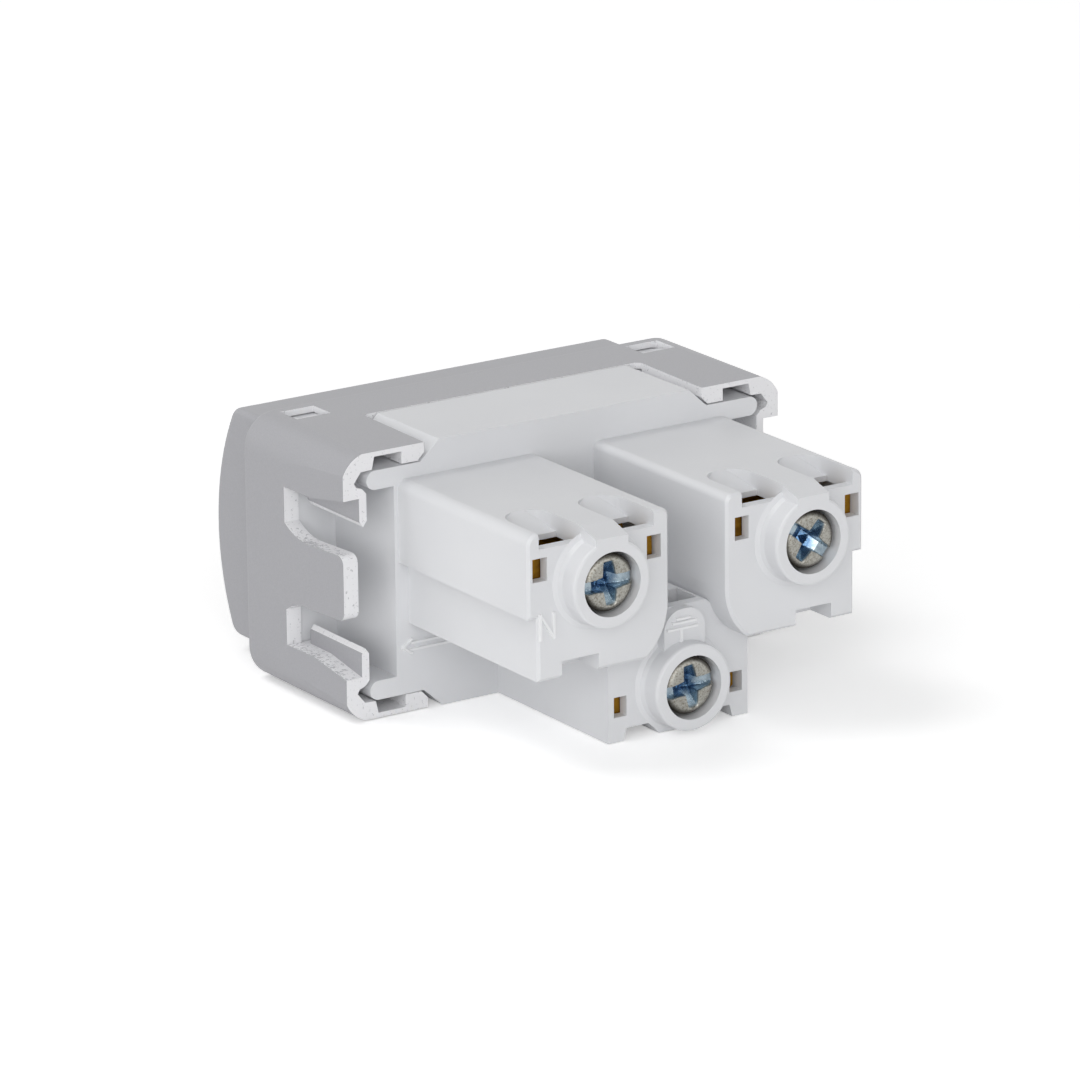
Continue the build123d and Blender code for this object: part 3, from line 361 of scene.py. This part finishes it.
@dataclass(frozen=True)
class StripMetal:
    """Sheet metal with two tones and a drawn grain."""

    name: str
    light: Colour
    dark: Colour
    roughness: float
    patch_mm: float
    scratch_mm: float
    tone_range: tuple[float, float] = (0.38, 0.62)
    scratch_depth_mm: float = 0.04
    scratch_strength: float = 0.15
    roughness_swing: tuple[float, float] = (-0.08, 0.1)

    def build(self) -> bpy.types.Material:
        """Makes the finish.

        Returns:
            The material.
        """
        made, tree, shader = new_material(self.name)
        at = add(tree, "ShaderNodeTexCoord").outputs["Object"]
        patches = add(tree, "ShaderNodeTexNoise", {
            "Vector": at, "Scale": per_mm(self.patch_mm), "Detail": 3.0, "Roughness": 0.6})
        steps = add(tree, "ShaderNodeMapRange", {
            "Value": patches.outputs["Fac"], "From Min": self.tone_range[0],
            "From Max": self.tone_range[1]})
        tone = add(tree, "ShaderNodeMix", {
            "Factor": steps.outputs[0], MIX_A: linear(self.light), MIX_B: linear(self.dark)},
            data_type="RGBA")
        # Rolling scratches are a few hundredths of a millimetre wide: drawn coarser, so that they show
        scratches = add(tree, "ShaderNodeTexNoise", {
            "Vector": at, "Scale": per_mm(self.scratch_mm), "Detail": 4.0})
        bump = add(tree, "ShaderNodeBump", {
            "Height": scratches.outputs["Fac"], "Strength": self.scratch_strength,
            "Distance": self.scratch_depth_mm * MM})
        rough = add(tree, "ShaderNodeMapRange", {
            "Value": scratches.outputs["Fac"], "To Min": self.roughness + self.roughness_swing[0],
            "To Max": self.roughness + self.roughness_swing[1]})
        tree.links.new(tone.outputs[MIX_RESULT], shader.inputs["Base Color"])
        tree.links.new(rough.outputs[0], shader.inputs["Roughness"])
        tree.links.new(bump.outputs[0], shader.inputs["Normal"])
        shader.inputs["Metallic"].default_value = 1.0
        return made


@dataclass(frozen=True)
class ZincPlating:
    """Blue-passivated zinc, plated on a steel screw, with painted shade on its rim and in its deep recess and
    a painted highlight in its slot.

    The attribute "recess" tells the depth below the head in mm. Below 0 it tells how far out on the
    rounded rim a place lies, down to -1.
    """

    name: str = "zinc_blue_passivated"
    patch_mm: float = 0.55
    patch_range: tuple[float, float] = (0.4, 0.6)
    patch_swing: float = 0.25
    pit_mm: float = 0.16
    pit_depth_mm: float = 0.04
    pit_strength: float = 0.35
    wear_range: tuple[float, float] = (0.45, 0.66)
    rim_range: tuple[float, float] = (-0.35, -0.95)
    slot_mm: tuple[float, float] = (0.04, 0.3)
    deep_mm: tuple[float, float] = (0.8, 1.35)
    roughness: float = 0.24
    dull_roughness: float = 0.44

    def build(self) -> bpy.types.Material:
        """Makes the finish.

        Returns:
            The material.
        """
        made, tree, shader = new_material(self.name)
        at = add(tree, "ShaderNodeTexCoord").outputs["Object"]
        depth = add(tree, "ShaderNodeAttribute", attribute_name="recess").outputs["Fac"]
        # Plating grain is a few hundredths of a millimetre: drawn coarser, so that the rim looks grainy
        pits = add(tree, "ShaderNodeTexNoise", {
            "Vector": at, "Scale": per_mm(self.pit_mm), "Detail": 4.0, "Roughness": 0.7})
        # The face, rubbed by the screwdriver, looks grey in random patches; its rounded rim is painted dark
        # as shade
        wear = add(tree, "ShaderNodeMapRange", {
            "Value": pits.outputs["Fac"], "From Min": self.wear_range[0], "From Max": self.wear_range[1]})
        face = add(tree, "ShaderNodeMix", {
            "Factor": wear.outputs[0], MIX_A: linear(Colour.ZINC_GREY), MIX_B: linear(Colour.ZINC_WORN)},
            data_type="RGBA")
        rim_shade = add(tree, "ShaderNodeMapRange", {
            "Value": depth, "From Min": self.rim_range[0], "From Max": self.rim_range[1]})
        worn_and_rim_shade = add(tree, "ShaderNodeMix", {
            "Factor": rim_shade.outputs[0], MIX_A: face.outputs[MIX_RESULT], MIX_B: linear(Colour.ZINC_RIM_SHADE)},
            data_type="RGBA")
        # The recess keeps its blue passivation; its pale slot is a painted highlight, and its darker blue
        # further down is painted shade that deepens with depth
        patches = add(tree, "ShaderNodeTexNoise", {
            "Vector": at, "Scale": per_mm(self.patch_mm), "Detail": 3.0})
        drift = add(tree, "ShaderNodeMapRange", {
            "Value": patches.outputs["Fac"], "From Min": self.patch_range[0],
            "From Max": self.patch_range[1], "To Min": -self.patch_swing, "To Max": self.patch_swing})
        # Painted shade: darker blue the deeper the recess
        painted_depth_shade = add(tree, "ShaderNodeMapRange", {
            "Value": depth, "From Min": self.deep_mm[0], "From Max": self.deep_mm[1]})
        shade = add(tree, "ShaderNodeMath", {
            0: painted_depth_shade.outputs[0], 1: drift.outputs[0]}, operation="ADD", use_clamp=True)
        blue = add(tree, "ShaderNodeMix", {
            "Factor": shade.outputs[0], MIX_A: linear(Colour.ZINC_PALE), MIX_B: linear(Colour.ZINC_BLUE)},
            data_type="RGBA")
        inside = add(tree, "ShaderNodeMapRange", {
            "Value": depth, "From Min": self.slot_mm[0], "From Max": self.slot_mm[1]})
        tone = add(tree, "ShaderNodeMix", {
            "Factor": inside.outputs[0], MIX_A: worn_and_rim_shade.outputs[MIX_RESULT], MIX_B: blue.outputs[MIX_RESULT]},
            data_type="RGBA")
        rough = add(tree, "ShaderNodeMapRange", {
            "Value": inside.outputs[0], "To Min": self.dull_roughness, "To Max": self.roughness})
        bump = add(tree, "ShaderNodeBump", {
            "Height": pits.outputs["Fac"], "Strength": self.pit_strength,
            "Distance": self.pit_depth_mm * MM})
        tree.links.new(tone.outputs[MIX_RESULT], shader.inputs["Base Color"])
        tree.links.new(rough.outputs[0], shader.inputs["Roughness"])
        tree.links.new(bump.outputs[0], shader.inputs["Normal"])
        shader.inputs["Metallic"].default_value = 1.0
        return made


@dataclass
class FrontCap:
    """The sprayed front cap."""

    node: str = "front_cap"

    def build(self) -> None:
        """Dresses the cap."""
        dress(self.node, SprayedCap().build())


@dataclass
class RaisedMark:
    """A mark moulded proud of a rear face, made of straight strokes with sloped sides."""

    name: str
    strokes: Sequence[Stroke]
    station: float
    width: float = 0.3
    relief: float = 0.2
    root: float = 0.02
    side_slope: float = 0.3
    height_step: float = 0.004

    def build(self, material: bpy.types.Material) -> bpy.types.Object:
        """Makes the mark, each stroke a block with its foot in the face.

        Args:
            material: Its finish.

        Returns:
            The piece.
        """
        build = bmesh.new()
        for number, (start, end) in enumerate(self.strokes):
            run = Vector((end[0] - start[0], end[1] - start[1])).normalized()
            across = Vector((-run.y, run.x))
            corners = [(start, -run + across), (end, run + across), (end, run - across),
                       (start, -run - across)]
            # Crossing strokes differ in height by a hair, so that no two faces share a plane
            crest = self.relief - self.height_step * number
            half = self.width / 2
            foot, crown = [[build.verts.new(place(x + way.x * wide, self.station + depth, z + way.y * wide))
                            for (x, z), way in corners]
                           for depth, wide in ((-self.root, half), (crest, half - self.side_slope * crest))]
            for i in range(4):
                k = (i + 1) % 4
                build.faces.new((foot[i], foot[k], crown[k], crown[i]))
            build.faces.new(crown)
            build.faces.new(foot[::-1])
        piece = put(self.name, close(build, self.name, material))
        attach(piece, "housing")
        log.info("%s: %d faces", self.name, len(piece.data.polygons))
        return piece


@dataclass
class RearBody:
    """The white body with its moulded marks."""

    node: str = "rear_body"
    letter_station: float = 20.0
    letter_x: Sequence[float] = (15.95, 14.62)
    letter_heights: Sequence[float] = (-0.17, 1.92)
    earth_station: float = 18.0
    earth_bars: Sequence[tuple[float, float, float]] = (
        (-1.74, -0.40, 0.85), (-2.08, -1.03, 1.23), (-2.60, -1.16, 1.75))
    earth_stem: Sequence[float] = (0.38, -2.6, -4.3)
    arrow_station: float = 0.1
    arrow_line: Sequence[float] = (11.9, 16.9, -6.0)
    arrow_head: float = 0.85
    arrow_half: float = 0.3
    mark_roughness: float = 0.3

    def letter(self) -> list[Stroke]:
        """Strokes of the neutral mark, read from the rear, where +X is on the left."""
        (left, right), (low, high) = self.letter_x, self.letter_heights
        return [((left, low), (left, high)), ((right, low), (right, high)), ((left, high), (right, low))]

    def earth_symbol(self) -> list[Stroke]:
        """Strokes of the earth mark, its stem pointing down to the screw.

        Returns:
            The three bars from the top down, then the stem.
        """
        stem_x, stem_top, stem_low = self.earth_stem
        bars = [((start, height), (end, height)) for height, start, end in self.earth_bars]
        return bars + [((stem_x, stem_top), (stem_x, stem_low))]

    def arrow(self) -> list[Stroke]:
        """Strokes of the outlined arrow that points to the neutral end.

        Returns:
            The head's two strokes and the shaft's two.
        """
        tail, tip, height = self.arrow_line
        neck = tip - self.arrow_head
        low, high = height - self.arrow_half, height + self.arrow_half
        return [((tip, height), (neck, high + self.arrow_half)),
                ((tip, height), (neck, low - self.arrow_half)),
                ((neck, high), (tail, high)), ((neck, low), (tail, low))]

    def build(self) -> None:
        """Dresses the body and adds its marks."""
        dress(self.node, MouldedPolycarbonate().build())
        # The marks come from polished engravings in the mould, so they are smoother; their lighter white is a
        # painted highlight on the raised strokes
        white = MouldedPolycarbonate("polycarbonate_white_mark_painted_highlight", Colour.MARK_PAINTED_HIGHLIGHT, Colour.BODY_WHITE,
                                     roughness=self.mark_roughness).build()
        RaisedMark("neutral_letter", self.letter(), self.letter_station).build(white)
        RaisedMark("earth_symbol", self.earth_symbol(), self.earth_station).build(white)
        RaisedMark("direction_arrow", self.arrow(), self.arrow_station).build(white)


@dataclass
class TerminalScrew:
    """One terminal screw: a head with a slot and a cross recess on a threaded shank."""

    terminal: str
    x: float
    height: float
    forward: float
    turned: float
    head_base: float = 18.9
    head_height: float = 3.05
    head_radius: float = 2.5
    head_chamfer: float = 0.12
    rim_start: float = 1.85
    rim_drop: float = 0.4
    rim_curve: float = 2.2
    slot_half: float = 0.5
    slot_depth: float = 0.75
    wing_half: float = 0.68
    wing_reach: float = 1.95
    wing_depth: float = 1.95
    wing_curve: float = 0.75
    wing_tip: float = 0.62
    wall_slope: float = 0.14
    shank_length: float = 6.7
    thread_radius: float = 1.7
    thread_depth: float = 0.38
    thread_flank: float = 2.3
    thread_run_out: float = 0.5
    pitch: float = 0.7
    rings: int = 46
    spokes: int = 144
    turn_steps: int = 10
    sharp_angle: float = 42.0

    def wall(self, offset: float, half: float) -> float:
        """From 0 outside a groove of the given half width to 1 inside it."""
        t = min(max((half - abs(offset)) / self.wall_slope + 0.5, 0.0), 1.0)
        return t * t * (3 - 2 * t)

    def recess(self, across: float, along: float) -> float:
        """Depth of the slot and cross below the head, in mm.

        Args:
            across: Distance along the slot from the middle, mm.
            along: Distance square to the slot, mm.

        Returns:
            How far the surface lies below the untouched head, mm.
        """
        deep = self.slot_depth * self.wall(along, self.slot_half)
        for offset, reach in ((across, along), (along, across)):
            run = max(1.0 - abs(reach) / self.wing_reach, 0.0)
            half = self.wing_half * (self.wing_tip + (1.0 - self.wing_tip) * run)
            deep = max(deep, self.wing_depth * run ** self.wing_curve * self.wall(offset, half))
        return deep

    def angles(self) -> list[float]:
        """The spokes' angles round the screw's axis, radians."""
        return [2 * math.pi * j / self.spokes for j in range(self.spokes)]

    def ring(self, station: float, radius: Callable[[float], float]) -> list[Point]:
        """Points round the screw's axis.

        Args:
            station: Their depth, mm.
            radius: Gives the radius in mm at an angle in radians.

        Returns:
            The ring's points.
        """
        return [(self.x + radius(angle) * math.cos(angle), self.height + radius(angle) * math.sin(angle),
                 station, 0.0) for angle in self.angles()]

    def thread(self, angle: float, down: float) -> float:
        """Radius of the thread's helix, which runs out at the shank's end.

        Args:
            angle: Round the axis, radians.
            down: Distance below the head, mm.

        Returns:
            The radius, mm.
        """
        phase = (down / self.pitch - angle / (2 * math.pi)) % 1.0
        crest = max(0.0, 1.0 - abs(phase - 0.5) * self.thread_flank)
        fade = min(1.0, (self.shank_length - down) / self.thread_run_out)
        return self.thread_radius - self.thread_depth * (1.0 - crest * fade)

    def head_top(self) -> list[list[Point]]:
        """The head's top with its recess.

        Returns:
            Rings from the middle out.
        """
        top = self.head_base - self.forward + self.head_height
        turn = math.radians(self.turned)
        rows = []
        for i in range(self.rings + 1):
            r = self.head_radius * i / self.rings
            out = max(r - self.rim_start, 0.0) / (self.head_radius - self.rim_start)
            drop = self.rim_drop * out ** self.rim_curve
            row = []
            for angle in self.angles():
                deep = max(self.recess(r * math.cos(angle - turn), r * math.sin(angle - turn)) - drop, 0.0)
                row.append((self.x + r * math.cos(angle), self.height + r * math.sin(angle),
                            top - drop - deep, deep if deep > 0.0 else -out))
            rows.append(row)
        return rows

    def shank(self) -> list[list[Point]]:
        """The head's side and underside, and the thread.

        Returns:
            Rings from the head down.
        """
        base = self.head_base - self.forward
        rows = [self.ring(base + self.head_chamfer, lambda angle: self.head_radius),
                self.ring(base, lambda angle: self.head_radius - self.head_chamfer),
                self.ring(base, lambda angle: self.thread_radius - self.thread_depth)]
        steps = int(self.shank_length / self.pitch * self.turn_steps)
        for i in range(1, steps + 1):
            down = self.shank_length * i / steps
            rows.append(self.ring(base - down, lambda angle: self.thread(angle, down)))
        return rows

    def build(self, plating: bpy.types.Material) -> bpy.types.Object:
        """Makes the screw in place of its plain solid.

        Args:
            plating: Its finish.

        Returns:
            The piece.
        """
        name = f"{self.terminal}_terminal_screw"
        build = bmesh.new()
        layer = build.verts.layers.float.new("recess")
        rows = self.head_top() + self.shank()
        rows[0] = rows[0][:1]
        grid = []
        for row in rows:
            ring = [build.verts.new(place(x, station, height)) for x, height, station, depth in row]
            for vertex, point in zip(ring, row):
                vertex[layer] = point[3]
            grid.append(ring)
        (middle,), grid = grid[0], grid[1:]
        for j in range(self.spokes):
            k = (j + 1) % self.spokes
            build.faces.new((middle, grid[0][j], grid[0][k]))
            for upper, lower in zip(grid, grid[1:]):
                build.faces.new((upper[j], lower[j], lower[k], upper[k]))
        build.faces.new(grid[-1][::-1])
        for face in build.faces:
            face.smooth = len(face.verts) <= 4
        piece = put(name, close(build, name, plating))
        piece.data.set_sharp_from_angle(angle=math.radians(self.sharp_angle))
        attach(piece, f"{self.terminal}_screw_body")
        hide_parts(f"{self.terminal}_screw")
        log.info("%s: %d faces", name, len(piece.data.polygons))
        return piece


@dataclass
class Terminals:
    """The brass and steel of the three terminals."""

    names: Sequence[str] = ("neutral", "line", "earth")
    screw_x: float = 10.25
    screw_height: float = 4.2
    earth_height: float = -7.6
    earth_forward: float = 3.0
    turned: Sequence[float] = (-4.0, 38.0, -8.0)

    def build(self) -> None:
        """Dresses every metal node and makes the screws."""
        # Stamped brass strip: yellow and dull to the eye, with darker handling patches
        brass = StripMetal("brass_stamped", Colour.BRASS, Colour.BRASS_DARK, roughness=0.34,
                           patch_mm=3.0, scratch_mm=0.25).build()
        # Rolled spring steel: plain grey with a soft sheen
        spring = StripMetal("spring_steel_rolled", Colour.ZINC_PALE, Colour.SPRING_GREY, roughness=0.3,
                            patch_mm=2.0, scratch_mm=0.2).build()
        for name in self.names:
            for kind, metal in (("contact", brass), ("nut", brass), ("clamp", brass), ("spring", spring)):
                dress(f"{name}_{kind}", metal)
        plating = ZincPlating().build()
        places = ((self.screw_x, self.screw_height, 0.0), (-self.screw_x, self.screw_height, 0.0),
                  (0.0, self.earth_height, self.earth_forward))
        for name, turned, (x, height, forward) in zip(self.names, self.turned, places):
            TerminalScrew(name, x, height, forward, turned).build(plating)


@dataclass(frozen=True)
class Lamp:
    """A square area lamp that faces the object: degrees, metres and watts."""

    name: str
    azimuth: float
    elevation: float
    distance: float
    size: float
    power: float

    def build(self) -> None:
        """Puts the lamp up."""
        way = bearing(self.azimuth, self.elevation)
        data = bpy.data.lights.new(self.name, "AREA")
        data.size = self.size
        data.energy = self.power
        lamp = put(self.name, data)
        lamp.location = way * self.distance
        lamp.rotation_euler = way.to_track_quat("Z", "Y").to_euler()


@dataclass
class Studio:
    """White floor, soft lamps and the camera that took the photograph."""

    floor_size: float = 6.0
    floor_roughness: float = 0.9
    floor_lift: float = 0.3
    horizon_level: float = 0.92
    zenith_level: float = 0.3
    zenith_height: float = 0.8
    lamps: Sequence[Lamp] = (
        Lamp("key", azimuth=150, elevation=22, distance=1.2, size=0.8, power=4.6),
        Lamp("fill", azimuth=108, elevation=14, distance=1.3, size=0.9, power=2.8),
        Lamp("top", azimuth=50, elevation=60, distance=1.2, size=0.5, power=3.6))
    camera_mm: Sequence[float] = (311.36, 469.115, 186.78)
    azimuth: float = 146.55
    elevation: float = 17.24
    roll: float = 0.59
    lens: float = 226.93
    sensor: float = 36.0
    clip: Sequence[float] = (0.01, 50.0)

    def floor(self) -> None:
        """A white matt floor that keeps the object's shadow and looks white to the camera."""
        made, tree, shader = new_material("paper_white_matt")
        shader.inputs["Base Color"].default_value = linear(Colour.FLOOR_WHITE)
        shader.inputs["Roughness"].default_value = self.floor_roughness
        shader.inputs["Specular IOR Level"].default_value = 0.0
        shader.inputs["Emission Color"].default_value = linear(Colour.FLOOR_WHITE)
        path = add(tree, "ShaderNodeLightPath")
        lift = add(tree, "ShaderNodeMath", {
            0: path.outputs["Is Camera Ray"], 1: self.floor_lift}, operation="MULTIPLY")
        tree.links.new(lift.outputs[0], shader.inputs["Emission Strength"])
        mesh = bpy.data.meshes.new("floor")
        half = self.floor_size / 2
        corners = [(-half, -half, 0), (half, -half, 0), (half, half, 0), (-half, half, 0)]
        mesh.from_pydata(corners, [], [(0, 1, 2, 3)])
        mesh.materials.append(made)
        floor = put("floor", mesh)

    def world(self) -> None:
        """A sky that is white to the eye and to reflections; as a light it fades towards the zenith."""
        world = bpy.data.worlds.new("studio")
        bpy.context.scene.world = world
        world.use_nodes = True
        tree = world.node_tree
        tree.nodes.clear()
        path = add(tree, "ShaderNodeLightPath")
        seen = path.outputs["Is Camera Ray"]
        for ray in ("Is Glossy Ray", "Is Transmission Ray"):
            either = add(tree, "ShaderNodeMath", {0: seen, 1: path.outputs[ray]}, operation="MAXIMUM")
            seen = either.outputs[0]
        way = add(tree, "ShaderNodeSeparateXYZ", {0: add(tree, "ShaderNodeTexCoord").outputs["Generated"]})
        soft = add(tree, "ShaderNodeMapRange", {
            "Value": way.outputs["Z"], "From Min": 0.0, "From Max": self.zenith_height,
            "To Min": self.horizon_level, "To Max": self.zenith_level})
        level = add(tree, "ShaderNodeMapRange", {"Value": seen, "To Min": soft.outputs[0], "To Max": 1.0})
        sky = add(tree, "ShaderNodeBackground", {"Color": (1, 1, 1, 1), "Strength": level.outputs[0]})
        add(tree, "ShaderNodeOutputWorld", {"Surface": sky.outputs[0]})

    def camera(self) -> None:
        """The photograph's own view."""
        back = bearing(self.azimuth, self.elevation)
        right = (-back).cross(Vector((0, 0, 1))).normalized()
        up = right.cross(-back)
        tilt = math.radians(self.roll)
        side = math.cos(tilt) * right - math.sin(tilt) * up
        top = math.sin(tilt) * right + math.cos(tilt) * up
        data = bpy.data.cameras.new("camera")
        data.sensor_width = self.sensor
        data.lens = self.lens
        data.clip_start, data.clip_end = self.clip
        camera = put("camera", data)
        camera.matrix_world = (Matrix.Translation(Vector(self.camera_mm) * MM)
                               @ Matrix((side, top, back)).transposed().to_4x4())
        bpy.context.scene.camera = camera

    def build(self) -> None:
        """Sets up the whole studio."""
        self.floor()
        self.world()
        for lamp in self.lamps:
            lamp.build()
        self.camera()
        bpy.context.scene.view_settings.view_transform = "Standard"


def main() -> None:
    """Builds the scene in order."""
    logging.basicConfig(level=logging.INFO, format="%(message)s")
    FrontCap().build()
    RearBody().build()
    Terminals().build()
    Studio().build()
    bpy.context.view_layer.update()


if __name__ == "__main__":
    main()
